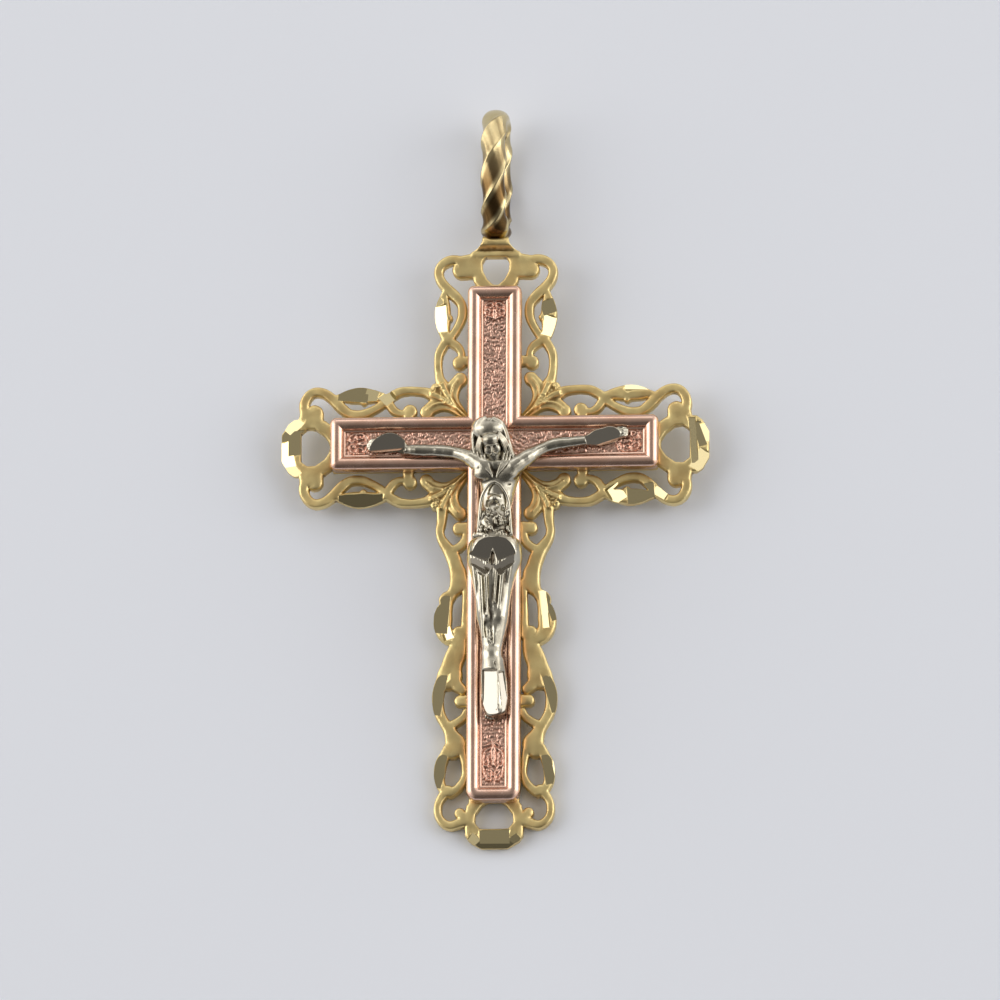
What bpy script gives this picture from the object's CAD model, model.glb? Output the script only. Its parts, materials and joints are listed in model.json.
# Crucifix pendant in three golds, lying face up on pale paper.
# Pieces are drawn in the caster's work frame, in millimetres: crossing of the arms at x = y = 0, flat back of
# the scrollwork at z = 0, face towards +z. lay_down() then tilts them to where the pendant rests, in metres.

import json
import math

import bmesh
import bpy
import numpy as np
import openvdb as vdb
from mathutils import Matrix, Vector


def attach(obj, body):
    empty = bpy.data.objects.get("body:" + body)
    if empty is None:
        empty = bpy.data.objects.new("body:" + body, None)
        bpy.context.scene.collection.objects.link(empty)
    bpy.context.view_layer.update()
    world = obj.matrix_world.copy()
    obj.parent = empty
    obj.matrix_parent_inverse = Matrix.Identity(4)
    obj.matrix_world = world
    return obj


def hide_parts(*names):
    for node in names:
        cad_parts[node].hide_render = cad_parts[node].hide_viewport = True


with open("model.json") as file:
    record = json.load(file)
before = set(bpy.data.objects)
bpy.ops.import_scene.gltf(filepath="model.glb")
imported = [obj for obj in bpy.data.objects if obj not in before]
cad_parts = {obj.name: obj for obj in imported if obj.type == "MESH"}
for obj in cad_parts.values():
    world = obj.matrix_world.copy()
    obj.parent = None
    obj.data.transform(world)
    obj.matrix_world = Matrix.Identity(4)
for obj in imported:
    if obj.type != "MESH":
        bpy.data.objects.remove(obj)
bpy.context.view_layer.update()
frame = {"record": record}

# sizes, mm

ARM_REACH = 15.35
FOOT_REACH = 30.5
TIP_L = 1.15
LACE_HALF = 4.7
BAR_HALF = 2.15
LACE_D = LACE_HALF - BAR_HALF
WIRE_W = 0.76
PLATE_T = 1.0
CROWN = 0.10
EYE_L = 2.22
EYE_W = 3.05
TOP_EYE_W = 2.15
RING_WALL = 0.72
BUD_R = 0.53
GAP = 0.04

INNER_W = 4.14
INNER_UP = 12.4
INNER_DOWN = 28.2
INNER_SIDE = 12.65
INNER_Z = PLATE_T + GAP
INNER_T = 1.45
RIM_W = 1.02
RIM_TOP = INNER_Z + INNER_T
FLOOR_Z = RIM_TOP - 0.55
STEP_W = 0.16
ORN_H = 0.16
CORNER_R = 0.5

BAIL_H = 10.4
BAIL_D = 6.0
STRAND_W = 2.05
STRAND_T = 1.45
SADDLE_W = 3.7
SADDLE_H = 0.95
BAIL_Y = ARM_REACH + SADDLE_H + BAIL_H / 2
BAIL_TURN = math.radians(2)
MID_Z = PLATE_T / 2

# modelling numbers: a distance that counts as clear of metal, joins of wires and crowns, grids, depth of a
# flat's cutting block, slot of the cut finish, most triangles of a cast piece, and how many small marks

FAR = 3.0
WIRE_JOIN = 0.08
TOP_JOIN = 0.05
WIRE_DOME = 5.0
LACE_CELL = 0.07
FLOOR_CELL = 0.062
CHASE_CELL = 0.05
FIGURE_CELL = 0.042
CUT_DEEP = 2.5
CUT_FINISH = 1
LACE_TRIANGLES = 165000
FIGURE_TRIANGLES = 180000
LEAF_BEADS = 46
CLOTH_CREASES = 44
LEG_CREASES = 60

# where the pendant lies

back_face = next(m for m in frame["record"]["mounts"] if m["name"] == "back_face")
REST_TILT = math.atan2(back_face["axis"][1], -back_face["axis"][2])
REST_POS = np.array(back_face["pos_m"])


def lay_down(points):
    """Work-frame millimetres to metres on the surface that the pendant rests on."""
    p = np.asarray(points, float)
    c, s = math.cos(REST_TILT), math.sin(REST_TILT)
    turned = np.stack([p[:, 0], p[:, 1] * c - p[:, 2] * s, p[:, 1] * s + p[:, 2] * c], axis=1)
    return turned / 1000 + REST_POS


# clay: smooth joins and distance fields

def soft_min(a, b, k):
    h = np.maximum(k - np.abs(a - b), 0) / k
    return np.minimum(a, b) - h * h * k / 4


def soft_max(a, b, k):
    return -soft_min(-a, -b, k)


def smooth_rows(rows, steps):
    """A smooth curve through table rows, any number of columns."""
    rows = np.asarray(rows, float)
    last = len(rows) - 1
    out = []
    for i in range(last):
        a, b, c, d = rows[max(i - 1, 0)], rows[i], rows[i + 1], rows[min(i + 2, last)]
        for k in range(steps):
            t = k / steps
            out.append((2 * b + (c - a) * t + (2 * a - 5 * b + 4 * c - d) * t * t
                        + (3 * b - a - 3 * c + d) * t ** 3) / 2)
    out.append(rows[last])
    return np.array(out)


def waves(seed, count, longest, shortest):
    """A fixed set of plane waves, which adds up to an even, quiet unevenness of about -1 to 1."""
    rng = np.random.default_rng(seed)
    length = rng.uniform(shortest, longest, count)
    turn = rng.uniform(0, 2 * math.pi, count)
    phase = rng.uniform(0, 2 * math.pi, count)

    def height(x, y):
        total = 0
        for l, t, p in zip(length, turn, phase):
            total = total + np.sin((x * math.cos(t) + y * math.sin(t)) * 2 * math.pi / l + p)
        return total / math.sqrt(count)

    return height


def to_line(x, y, a, b):
    """Share along the line from a to b of the nearest place on it, and the distance to that place."""
    v = b[:2] - a[:2]
    t = np.clip(((x - a[0]) * v[0] + (y - a[1]) * v[1]) / max(v @ v, 1e-9), 0, 1)
    return t, np.hypot(x - a[0] - t * v[0], y - a[1] - t * v[1])


class Plan:
    """Plan of a flat casting: edge is the distance to its outline, metal negative, and top is its height."""

    def __init__(self, low, high, cell, top):
        self.cell = cell
        self.x = np.arange(low[0], high[0] + cell, cell)
        self.y = np.arange(low[1], high[1] + cell, cell)
        self.edge = np.full((len(self.x), len(self.y)), FAR)
        self.top = np.full_like(self.edge, top)

    def window(self, low, high):
        i = [max(0, int((low[0] - self.x[0]) / self.cell)), int((high[0] - self.x[0]) / self.cell) + 2]
        j = [max(0, int((low[1] - self.y[0]) / self.cell)), int((high[1] - self.y[0]) / self.cell) + 2]
        part = (slice(*i), slice(*j))
        x, y = np.meshgrid(self.x[part[0]], self.y[part[1]], indexing="ij")
        return part, x, y

    def wire(self, path, base, rise):
        """A domed wire through rows of [x, y, width]."""
        reach = path[:, 2].max() / 2 + 0.5
        part, x, y = self.window(path[:, :2].min(0) - reach, path[:, :2].max(0) + reach)
        edge = np.full(x.shape, FAR)
        top = np.full(x.shape, -1.0)
        for a, b in zip(path[:-1], path[1:]):
            t, d = to_line(x, y, a, b)
            r = (a[2] + t * (b[2] - a[2])) / 2
            edge = np.minimum(edge, d - r)
            dome = np.clip(1 - (d / r) ** WIRE_DOME, 0, 1)
            top = np.maximum(top, base + rise * np.minimum(r / 0.35, 1.25) * dome)
        self.edge[part] = soft_min(self.edge[part], edge, WIRE_JOIN)
        self.top[part] = soft_max(self.top[part], top, TOP_JOIN)

    def vein(self, path, rise):
        """A fine raised line on the face, which leaves the outline as it is."""
        reach = path[:, 2].max() + 0.2
        part, x, y = self.window(path[:, :2].min(0) - reach, path[:, :2].max(0) + reach)
        lift = np.zeros(x.shape)
        for a, b in zip(path[:-1], path[1:]):
            t, d = to_line(x, y, a, b)
            r = (a[2] + t * (b[2] - a[2])) / 2
            lift = np.maximum(lift, np.clip(1 - (d / r) ** 2, 0, 1))
        self.top[part] += rise * lift

    def disc(self, x0, y0, r, base, rise):
        """A round bead with a domed top."""
        part, x, y = self.window((x0 - r - 0.4, y0 - r - 0.4), (x0 + r + 0.4, y0 + r + 0.4))
        d = np.hypot(x - x0, y - y0)
        self.edge[part] = soft_min(self.edge[part], d - r, WIRE_JOIN)
        self.top[part] = soft_max(self.top[part], base + rise * np.sqrt(np.clip(1 - (d / r) ** 2, 0, 1)),
                                  0.04)

    def outline(self, corners, cut=False, join=0.1, base=None, rise=0.0):
        """A polygon, added or cut out."""
        corners = np.asarray(corners, float)
        part, x, y = self.window(corners.min(0) - 0.6, corners.max(0) + 0.6)
        d = np.full(x.shape, 9.0)
        inside = np.zeros(x.shape, bool)
        for a, b in zip(corners, np.roll(corners, -1, axis=0)):
            v = b - a
            d = np.minimum(d, to_line(x, y, a, b)[1])
            crosses = (a[1] > y) != (b[1] > y)
            at = a[0] + (y - a[1]) * v[0] / (v[1] if abs(v[1]) > 1e-9 else 1e-9)
            inside ^= crosses & (x < at)
        d = np.where(inside, -d, d)
        if cut:
            self.edge[part] = soft_max(self.edge[part], -d, join)
        else:
            self.edge[part] = soft_min(self.edge[part], d, join)
            if base is not None:
                round_top = base + rise * np.sqrt(np.clip(1 - (1 + np.clip(d, -0.4, 0) / 0.4) ** 2, 0, 1))
                self.top[part] = soft_max(self.top[part], np.where(d < 0, round_top, -1), TOP_JOIN)


class Clay:
    """Modelling clay on an even grid: f is the distance to the surface, metal negative."""

    def __init__(self, low, high, cell):
        self.cell = cell
        self.axes = [np.arange(a, b, cell, dtype=np.float32) for a, b in zip(low, high)]
        self.f = np.full([len(a) for a in self.axes], 1.0, np.float32)

    def near(self, low, high):
        part = tuple(slice(max(0, int((a - ax[0]) / self.cell)), max(0, int((b - ax[0]) / self.cell) + 2))
                     for a, b, ax in zip(low, high, self.axes))
        x, y, z = (ax[s] for ax, s in zip(self.axes, part))
        return part, x[:, None, None], y[None, :, None], z[None, None, :]

    def put(self, part, d, join, press=False):
        now = self.f[part]
        d = d.astype(np.float32)
        if press:
            self.f[part] = soft_max(now, -d, join) if join else np.maximum(now, -d)
        else:
            self.f[part] = soft_min(now, d, join) if join else np.minimum(now, d)

    def ball(self, c, r, join=0.15, turn=None, press=False):
        """An ellipsoid with half axes r; turn holds its own three axes as rows."""
        c = np.asarray(c, float)
        r = np.asarray(r, float)
        turn = np.eye(3) if turn is None else np.asarray(turn)
        reach = np.sqrt(((turn * r[:, None]) ** 2).sum(0)) + join + 2 * self.cell
        part, x, y, z = self.near(c - reach, c + reach)
        dx, dy, dz = x - c[0], y - c[1], z - c[2]
        p = [row[0] * dx + row[1] * dy + row[2] * dz for row in turn]
        k0 = np.sqrt(sum((q / a) ** 2 for q, a in zip(p, r)))
        k1 = np.sqrt(sum((q / a ** 2) ** 2 for q, a in zip(p, r)))
        self.put(part, k0 * (k0 - 1) / np.maximum(k1, 1e-6), join, press)

    def rod(self, path, join=0.15, flat=1.0, press=False):
        """A tapering rod through rows of [x, y, z, radius]; flat squeezes it in z."""
        path = np.asarray(path, float)
        reach = path[:, 3].max() + join + 2 * self.cell
        part, x, y, z = self.near(path[:, :3].min(0) - reach, path[:, :3].max(0) + reach)
        best = None
        for a, b in zip(path[:-1], path[1:]):
            v = (b[:3] - a[:3]) * [1, 1, 1 / flat]
            dx, dy, dz = x - a[0], y - a[1], (z - a[2]) / flat
            t = np.clip((dx * v[0] + dy * v[1] + dz * v[2]) / max(v @ v, 1e-9), 0, 1)
            d = np.sqrt((dx - t * v[0]) ** 2 + (dy - t * v[1]) ** 2 + (dz - t * v[2]) ** 2)
            d = d - (a[3] + t * (b[3] - a[3]))
            best = d if best is None else np.minimum(best, d)
        self.put(part, best * min(flat, 1), join, press)


# meshes

def build_mesh(name, points, faces):
    """Mesh from points and lists of three- and four-cornered faces, normals outward."""
    mesh = bpy.data.meshes.new(name)
    loops = np.concatenate([np.asarray(f, np.int32).ravel() for f in faces if len(f)])
    counts = np.concatenate([np.full(len(f), np.asarray(f).shape[1], np.int32) for f in faces if len(f)])
    starts = np.concatenate([[0], np.cumsum(counts)[:-1]]).astype(np.int32)
    mesh.vertices.add(len(points))
    mesh.vertices.foreach_set("co", np.asarray(points, np.float32).ravel())
    mesh.loops.add(len(loops))
    mesh.loops.foreach_set("vertex_index", loops)
    mesh.polygons.add(len(starts))
    mesh.polygons.foreach_set("loop_start", starts)
    mesh.polygons.foreach_set("loop_total", counts)
    mesh.update(calc_edges=True)
    mesh.validate()
    mesh.polygons.foreach_set("use_smooth", np.full(len(mesh.polygons), True))
    return mesh


def points_of(mesh):
    co = np.empty(len(mesh.vertices) * 3, np.float32)
    mesh.vertices.foreach_get("co", co)
    return co.reshape(-1, 3)


def set_points(mesh, points):
    mesh.vertices.foreach_set("co", points.astype(np.float32).ravel())
    mesh.update()


def keep_values(mesh, name, values):
    """Keeps a number on each point of a mesh."""
    mesh.attributes.new(name, "FLOAT", "POINT").data.foreach_set("value", values.astype(np.float32))


def signed_volume(points, faces):
    total = 0.0
    for f in faces:
        f = np.asarray(f)
        for k in range(1, f.shape[1] - 1) if len(f) else ():
            a, b, c = points[f[:, 0]], points[f[:, k]], points[f[:, k + 1]]
            total += float(np.einsum("ij,ij->i", a, np.cross(b, c)).sum())
    return total


def cast(name, field, low, cell, merge):
    """Skin of a distance field as a mesh in the work frame; merge joins faces where it is flat."""
    grid = vdb.FloatGrid(1.0)
    grid.copyFromArray(np.clip(field, -4 * cell, 4 * cell).astype(np.float32))
    points, triangles, quads = grid.convertToPolygons(isovalue=0.0, adaptivity=merge)
    points = np.asarray(points, float) * cell + np.asarray(low, float)
    faces = [np.asarray(triangles), np.asarray(quads)]
    if signed_volume(points, faces) < 0:
        faces = [f[:, ::-1] for f in faces if len(f)]
    return build_mesh(name, points, faces)


def add_object(name, mesh):
    obj = bpy.data.objects.new(name, mesh)
    bpy.context.scene.collection.objects.link(obj)
    return obj


def baked(obj):
    """Applies the object's modifiers to its mesh."""
    depsgraph = bpy.context.evaluated_depsgraph_get()
    mesh = bpy.data.meshes.new_from_object(obj.evaluated_get(depsgraph))
    old = obj.data
    obj.modifiers.clear()
    obj.data = mesh
    mesh.name = obj.name
    bpy.data.meshes.remove(old)
    return obj


def thin_out(obj, most):
    """Thins the mesh to a number of triangles."""
    obj.data.calc_loop_triangles()
    have = len(obj.data.loop_triangles)
    if have > most:
        step = obj.modifiers.new("thin", "DECIMATE")
        step.ratio = most / have
        baked(obj)
    return obj


def relay(obj):
    """Moves a mesh from the work frame to where the pendant lies."""
    set_points(obj.data, lay_down(points_of(obj.data)))
    return obj


def mark_hollows(obj, spread, depth):
    """Keeps on each point how far it lies below its smoothed surroundings, as a share of a depth in mm."""
    mesh = obj.data
    n = len(mesh.vertices)
    co, normal = points_of(mesh), np.empty(n * 3, np.float32)
    mesh.vertex_normals.foreach_get("vector", normal)
    normal = normal.reshape(-1, 3)
    pairs = np.empty(len(mesh.edges) * 2, np.int32)
    mesh.edges.foreach_get("vertices", pairs)
    a, b = pairs.reshape(-1, 2).T
    count = np.maximum(np.bincount(a, minlength=n) + np.bincount(b, minlength=n), 1)
    calm = co.copy()
    for _ in range(spread):
        calm = np.stack([(np.bincount(a, calm[b, k], n) + np.bincount(b, calm[a, k], n)) / count
                         for k in range(3)], axis=1)
    below = ((calm - co) * normal).sum(1) / depth
    keep_values(mesh, "hollow", np.clip(below, 0, 1))
    return obj


def finish_piece(obj, node):
    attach(obj, "root")
    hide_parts(node)
    return obj


# diamond cut flats

def wedge(place, heading, lean, size, deep):
    """Cutting block in the work frame: its flat underside passes through the place and leans down along the
    heading. size is its length along the heading and across it."""
    x, y, z = place
    turn = Matrix.Rotation(math.radians(heading), 4, "Z") @ Matrix.Rotation(math.radians(lean), 4, "Y")
    corners = [(u * size[0] / 2, v * size[1] / 2, w * deep) for w in (0, 1) for v in (-1, 1) for u in (-1, 1)]
    points = [(Matrix.Translation((x, y, z)) @ turn @ Vector(c))[:] for c in corners]
    faces = [(0, 2, 3, 1), (4, 5, 7, 6), (0, 1, 5, 4), (2, 6, 7, 3), (0, 4, 6, 2), (1, 3, 7, 5)]
    return points, faces


def cut_flats(obj, rows):
    """Cuts flats with [x, y, z, heading, lean, length, width] rows; the new faces take the second finish."""
    for row in rows:
        points, faces = wedge(row[:3], row[3], row[4], row[5:7], CUT_DEEP)
        mesh = bpy.data.meshes.new("cutter")
        mesh.from_pydata(points, [], faces)
        for p in mesh.polygons:
            p.material_index = CUT_FINISH
        while len(mesh.materials) < CUT_FINISH + 1:
            mesh.materials.append(obj.data.materials[len(mesh.materials)])
        cutter = add_object("cutter", mesh)
        step = obj.modifiers.new("cut", "BOOLEAN")
        step.operation = "DIFFERENCE"
        step.solver = "MANIFOLD"
        step.material_mode = "INDEX"
        step.object = cutter
        baked(obj)
        bpy.data.objects.remove(cutter)
        bpy.data.meshes.remove(mesh)
    flat = np.zeros(len(obj.data.polygons), np.int32)
    obj.data.polygons.foreach_get("material_index", flat)
    obj.data.polygons.foreach_set("use_smooth", flat != CUT_FINISH)
    return obj


# scrollwork cross

# Rows hold shares: along the arm from the lace's width to the end ring, across from the bar to the lace's
# edge, and width as a share of the scroll wire. They are the solid's strokes, but for two: the ring scroll's
# inner half is up to 0.2 mm wider here, and the bud by the end ring sits 0.26 mm further out.
RING_SCROLL = [
    (0.901, 0.07, 1.15), (0.941, 0.30, 1.06), (0.941, 0.56, 1.06), (0.909, 0.79, 1.00), (0.859, 0.89, 0.98),
    (0.798, 0.84, 1.00), (0.741, 0.67, 1.06), (0.681, 0.41, 1.11), (0.624, 0.22, 0.98), (0.574, 0.17, 0.98),
    (0.513, 0.19, 0.95), (0.445, 0.31, 0.85), (0.384, 0.47, 0.85), (0.342, 0.64, 1.00)]
PETAL = [
    (0.719, 0.67, 0.67), (0.665, 0.73, 0.89), (0.612, 0.75, 1.37), (0.544, 0.77, 1.64), (0.483, 0.76, 1.50),
    (0.430, 0.74, 1.22), (0.384, 0.69, 1.06), (0.342, 0.61, 1.00)]
CURL = [(0.346, 0.59, 0.94), (0.322, 0.44, 0.94), (0.295, 0.29, 0.89), (0.255, 0.20, 0.78),
        (0.209, 0.19, 0.78)]
EDGE_WIRE = [
    (0.354, 0.61, 1.00), (0.300, 0.76, 0.98), (0.247, 0.87, 0.94), (0.186, 0.90, 0.87), (0.125, 0.89, 0.87),
    (0.065, 0.85, 0.98), (0.011, 0.76, 1.17)]
ARM_STROKES = [
    RING_SCROLL, PETAL, CURL, EDGE_WIRE, [(0.865, 0.22, 1.7), (0.875, -0.30, 1.9)],
    [(0.935, 0.25, 1.1), (0.945, -0.25, 1.5)], [(0.190, 0.10, 1.0), (0.190, -0.10, 1.2)]]
ARM_BUDS = [(0.872, 0.28, 0.95), (0.513, 0.56, 0.5), (0.178, 0.25, 1.05)]

FOOT_STROKES = [
    [(0.005, 0.76, 1.17), (0.029, 0.77, 1.09), (0.054, 0.79, 0.98), (0.078, 0.83, 0.89), (0.100, 0.78, 0.94),
     (0.118, 0.67, 1.11), (0.137, 0.54, 1.28), (0.161, 0.41, 1.50), (0.186, 0.33, 1.53), (0.210, 0.26, 1.76),
     (0.238, 0.26, 1.76), (0.260, 0.37, 1.17)],
    [(0.137, 0.47, 1.00), (0.129, 0.27, 0.94), (0.112, 0.09, 0.94), (0.088, 0.00, 0.89)],
    [(0.253, 0.37, 1.06), (0.272, 0.48, 1.15), (0.288, 0.63, 1.50), (0.301, 0.59, 1.10), (0.321, 0.69, 1.61),
     (0.346, 0.73, 1.89), (0.370, 0.73, 1.78), (0.392, 0.64, 1.61), (0.412, 0.48, 1.06)],
    [(0.389, 0.23, 1.44), (0.413, 0.22, 1.50), (0.435, 0.26, 1.78), (0.456, 0.33, 2.06), (0.478, 0.42, 2.06),
     (0.502, 0.48, 2.22), (0.524, 0.53, 2.50), (0.542, 0.71, 1.44)],
    [(0.521, 0.39, 1.44), (0.544, 0.33, 1.33), (0.562, 0.13, 1.06)],
    [(0.533, 0.73, 1.33), (0.561, 0.83, 1.26), (0.588, 0.87, 1.20), (0.616, 0.85, 1.16), (0.641, 0.78, 1.08),
     (0.662, 0.66, 1.08), (0.684, 0.52, 1.24), (0.699, 0.45, 1.44), (0.714, 0.38, 1.78), (0.730, 0.32, 2.17),
     (0.745, 0.41, 1.89)],
    [(0.673, 0.50, 1.00), (0.662, 0.30, 0.89), (0.647, 0.10, 0.83), (0.631, 0.00, 0.83)],
    [(0.742, 0.55, 1.11), (0.763, 0.66, 1.11), (0.788, 0.77, 1.20), (0.816, 0.81, 1.16), (0.840, 0.80, 1.04),
     (0.859, 0.73, 0.94), (0.874, 0.59, 1.00)],
    [(0.748, 0.13, 0.89), (0.779, 0.07, 0.72), (0.816, 0.04, 0.67), (0.843, 0.11, 0.83), (0.863, 0.27, 0.89),
     (0.876, 0.47, 1.00)],
    [(0.868, 0.54, 1.06), (0.883, 0.70, 0.94), (0.903, 0.82, 0.84), (0.926, 0.86, 0.84), (0.948, 0.82, 0.84),
     (0.966, 0.69, 0.88), (0.975, 0.49, 0.94), (0.970, 0.27, 1.00), (0.960, 0.01, 1.22)],
    [(0.235, 0.02, 0.8), (0.300, 0.05, 0.7), (0.400, 0.06, 0.9)],
    [(0.070, 0.12, 1.3), (0.070, -0.10, 1.5)],
    [(0.597, 0.10, 1.2), (0.597, -0.10, 1.4)],
    [(0.945, 0.12, 1.0), (0.960, -0.10, 1.2)]]
FOOT_BUDS = [(0.070, 0.24, 1.0), (0.597, 0.19, 0.88), (0.938, 0.19, 0.8)]

# Corner leaf, drawn on one side of its diagonal.
LEAF_RIB = [(0.01, 0.01, 0.56), (0.24, 0.20, 0.89), (0.56, 0.47, 1.17), (0.81, 0.64, 1.33),
            (1.10, 0.77, 1.17)]
LEAF_LOBE = [(0.04, 0.07, 0.67), (0.36, 0.31, 0.95), (0.70, 0.46, 1.25), (1.00, 0.42, 1.40),
             (1.22, 0.26, 1.25)]
LEAF_TIP = [(0.41, 0.41, 1.33), (0.77, 0.77, 1.89), (0.97, 0.97, 1.00)]

ARMS = [(0, ARM_REACH, EYE_W), (90, ARM_REACH, TOP_EYE_W), (180, ARM_REACH, EYE_W), (-90, FOOT_REACH, EYE_W)]


def along(share, reach):
    return LACE_HALF + share * (reach - LACE_HALF)


def across(share):
    return BAR_HALF + share * LACE_D


def turned(rows, degrees, side=1):
    """Rows drawn along +x, mirrored to a side and turned to their arm."""
    rows = np.array(rows, float)
    c, s = math.cos(math.radians(degrees)), math.sin(math.radians(degrees))
    x, y = rows[:, 0].copy(), rows[:, 1] * side
    rows[:, 0], rows[:, 1] = x * c - y * s, x * s + y * c
    return rows


def both_sides(half):
    """Corners on one side of the arm's middle line, and the same mirrored."""
    return np.array(half + [(x, -y) for x, y in reversed(half)])


def stroke(rows, reach):
    return smooth_rows([(along(a, reach), across(b), w * WIRE_W) for a, b, w in rows], 5)


def ring_corners(reach, wide):
    h = wide / 2 + RING_WALL
    c = h * 0.45
    x0 = reach - EYE_L - 1.5 * RING_WALL
    half = [(x0, h * 0.3), (x0 + c * 0.45, h * 0.74), (x0 + c * 1.1, h * 0.95), (x0 + c * 1.7, h),
            (reach - c * 0.3, h), (reach, h - c * 0.3)]
    return both_sides(half)


def eye_corners(reach, wide):
    x1 = reach - RING_WALL / 2
    x0 = x1 - EYE_L
    h = wide / 2
    half = [(x1, h * 0.72), (x1 - EYE_L * 0.22, h * 0.97), (x1 - EYE_L * 0.5, h * 0.94),
            (x0 + EYE_L * 0.18, h * 0.6), (x0, h * 0.2)]
    return both_sides(half)


def tip_corners(reach, wide):
    h = wide / 2 + RING_WALL
    half = [(reach - RING_WALL / 2, h), (reach + TIP_L * 0.15, h), (reach + TIP_L * 0.55, h * 0.85),
            (reach + TIP_L, h * 0.45)]
    return both_sides(half)


def leaf_shares(rows, flip):
    rows = smooth_rows([(across(a), across(b), w * WIRE_W) for a, b, w in rows], 5)
    return rows[:, [1, 0, 2]] if flip else rows


def draw_leaf(plan, degrees):
    base = PLATE_T - CROWN
    for flip in (False, True):
        plan.wire(turned(leaf_shares(LEAF_RIB, flip), degrees), base, CROWN * 0.9)
        plan.wire(turned(leaf_shares(LEAF_LOBE, flip), degrees), base, CROWN * 0.8)
        spot = turned([(across(1.24), across(0.22), 0)] if not flip else [(across(0.22), across(1.24), 0)],
                      degrees)[0]
        plan.disc(spot[0], spot[1], BUD_R, base, CROWN * 0.95)
    plan.wire(turned(leaf_shares(LEAF_TIP, False), degrees), base, CROWN * 0.75)


def bead(plan, degrees, a, b, width, rise):
    x, y = turned([(across(a), across(b), 0)], degrees)[0][:2]
    plan.vein(np.array([[x, y, width], [x + 0.01, y, width]]), rise)


def dress_leaf(plan, degrees, seed):
    """Raised veins and small beads on a corner leaf."""
    for flip in (False, True):
        for shift in (-0.035, 0.05):
            rib = [(a, b + shift * min(1, a * 2), 0.25 + 0.1 * a) for a, b, _ in LEAF_RIB]
            plan.vein(turned(leaf_shares(rib, flip), degrees), 0.11)
        lobe = [(a, b + 0.02, 0.26) for a, b, _ in LEAF_LOBE]
        plan.vein(turned(leaf_shares(lobe, flip), degrees), 0.07)
    rng = np.random.default_rng(seed)
    for _ in range(LEAF_BEADS):
        a = 0.45 + 0.6 * rng.random()
        b = a + (rng.random() - 0.5) * 0.42
        bead(plan, degrees, a, b, 0.10, 0.075)
    for a, b in ((1.08, 1.00), (1.00, 1.08), (1.16, 0.88), (0.88, 1.16)):
        bead(plan, degrees, a * 0.93, b * 0.93, 0.15, 0.12)


def draw_lace():
    low = (-ARM_REACH - TIP_L - 0.5, -FOOT_REACH - TIP_L - 0.5)
    high = (ARM_REACH + TIP_L + 0.5, ARM_REACH + 0.8)
    base = PLATE_T - CROWN
    plan = Plan(low, high, LACE_CELL, base)
    for degrees, reach, wide in ARMS:
        foot = reach == FOOT_REACH
        plan.outline(turned(ring_corners(reach, wide), degrees), join=0.15, base=base, rise=CROWN)
        if degrees != 90:
            plan.outline(turned(tip_corners(reach, wide), degrees), join=0.1, base=base, rise=CROWN)
        for side in (-1, 1):
            for rows in FOOT_STROKES if foot else ARM_STROKES:
                plan.wire(turned(stroke(rows, reach), degrees, side), base, CROWN)
            for a, b, r in FOOT_BUDS if foot else ARM_BUDS:
                spot = turned([(along(a, reach), across(b), 0)], degrees, side)[0]
                plan.disc(spot[0], spot[1], r * BUD_R, base, CROWN * 1.1)
        half = INNER_W / 2 - 0.2
        bar = [(0, -half), (reach - EYE_L - RING_WALL, -half), (reach - EYE_L - RING_WALL, half), (0, half)]
        plan.outline(turned(bar, degrees), join=0.06)
    for degrees in (0, 90, 180, 270):
        draw_leaf(plan, degrees)
    for degrees, reach, wide in ARMS:
        plan.outline(turned(eye_corners(reach, wide), degrees), cut=True, join=0.16)
    for k, degrees in enumerate((0, 90, 180, 270)):
        dress_leaf(plan, degrees, 11 + k)
    x, y = np.meshgrid(plan.x, plan.y, indexing="ij")
    plan.top += 0.012 * waves(5, 14, 2.6, 0.8)(x, y)
    # under the inner cross the face is a plain seat
    seat = np.maximum(np.abs(x) - INNER_W / 2, np.maximum(y - INNER_UP, -INNER_DOWN - y))
    seat = np.minimum(seat, np.maximum(np.abs(y) - INNER_W / 2, np.abs(x) - INNER_SIDE))
    plan.top = np.where(seat < -0.05, np.minimum(plan.top, PLATE_T - 0.04), plan.top)
    plan.edge = np.where(seat < -0.12, np.minimum(plan.edge, seat + 0.1), plan.edge)
    return plan


def saddle_field(x, y, z):
    """Flared seat that carries the bail on the top ring."""
    up = np.clip((y - ARM_REACH) / SADDLE_H, -1, 1.6)
    half = STRAND_W * 0.5 + (SADDLE_W / 2 - STRAND_W * 0.5) * np.clip(1 - up, 0, 2) ** 2.4
    half = np.minimum(half, SADDLE_W / 2)
    # the front face sweeps up in a hollow curve to a lip under the strand
    sweep = (y - ARM_REACH - 0.02) / (0.86 * SADDLE_H)
    front = z - PLATE_T - 0.04 - 1.05 * np.clip(sweep, 0, 1) ** 1.5 - 0.72 * np.clip(sweep - 1, 0, 2)
    front = front + 0.10 * np.clip(sweep, 0, 1) * np.sin(9 * x + 5 * y) * np.sin(13 * y - 4 * x)
    d = soft_max(np.abs(x) - half, np.maximum(front * 0.75, -z), 0.12)
    d = soft_max(d, ARM_REACH - RING_WALL * 0.5 - y, 0.1)
    d = soft_max(d, y - ARM_REACH - SADDLE_H * 1.80, 0.14)
    # room for the strand's loop
    away = (np.abs((y - BAIL_Y) / (BAIL_H / 2 + 0.05)) ** 2.17
            + np.abs((z - MID_Z) / (BAIL_D / 2 + 0.05)) ** 2.27)
    return soft_max(d, (1 - away ** 0.45) * BAIL_D / 2, 0.05)


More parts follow.
